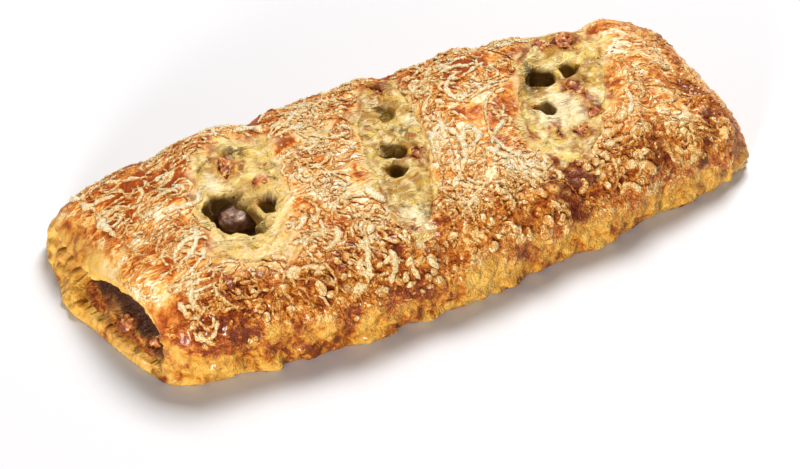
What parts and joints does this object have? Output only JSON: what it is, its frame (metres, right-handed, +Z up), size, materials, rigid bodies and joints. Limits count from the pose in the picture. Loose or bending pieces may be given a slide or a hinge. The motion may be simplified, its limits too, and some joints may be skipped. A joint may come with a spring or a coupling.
{
  "type": "savoury_strudel",
  "caption": "Baked savoury strudel: golden puff-pastry parcel with slanted vents, an open end, creamy ham filling and grated cheese browned on top",
  "frame": {"origin": "middle of the bounding box on the table plane", "axes": "+X runs along the parcel from the open end to the closed end, +Y to the far side, +Z up"},
  "size_m": [0.1782, 0.0764, 0.0282],
  "materials": {
    "pastry": "baked puff pastry with browned grated cheese, dry with an oily sheen",
    "filling": "set creamy cheese sauce, soft sheen",
    "ham": "cooked ham, moist sheen"
  },
  "bodies": {
    "root": {"pastry": "pastry", "filling": "filling", "ham_1": "ham", "ham_2": "ham", "ham_3": "ham", "ham_4": "ham", "ham_5": "ham", "ham_6": "ham", "ham_7": "ham", "ham_8": "ham", "ham_9": "ham", "ham_10": "ham", "ham_11": "ham", "ham_12": "ham", "ham_13": "ham"}
  },
  "joints": []
}
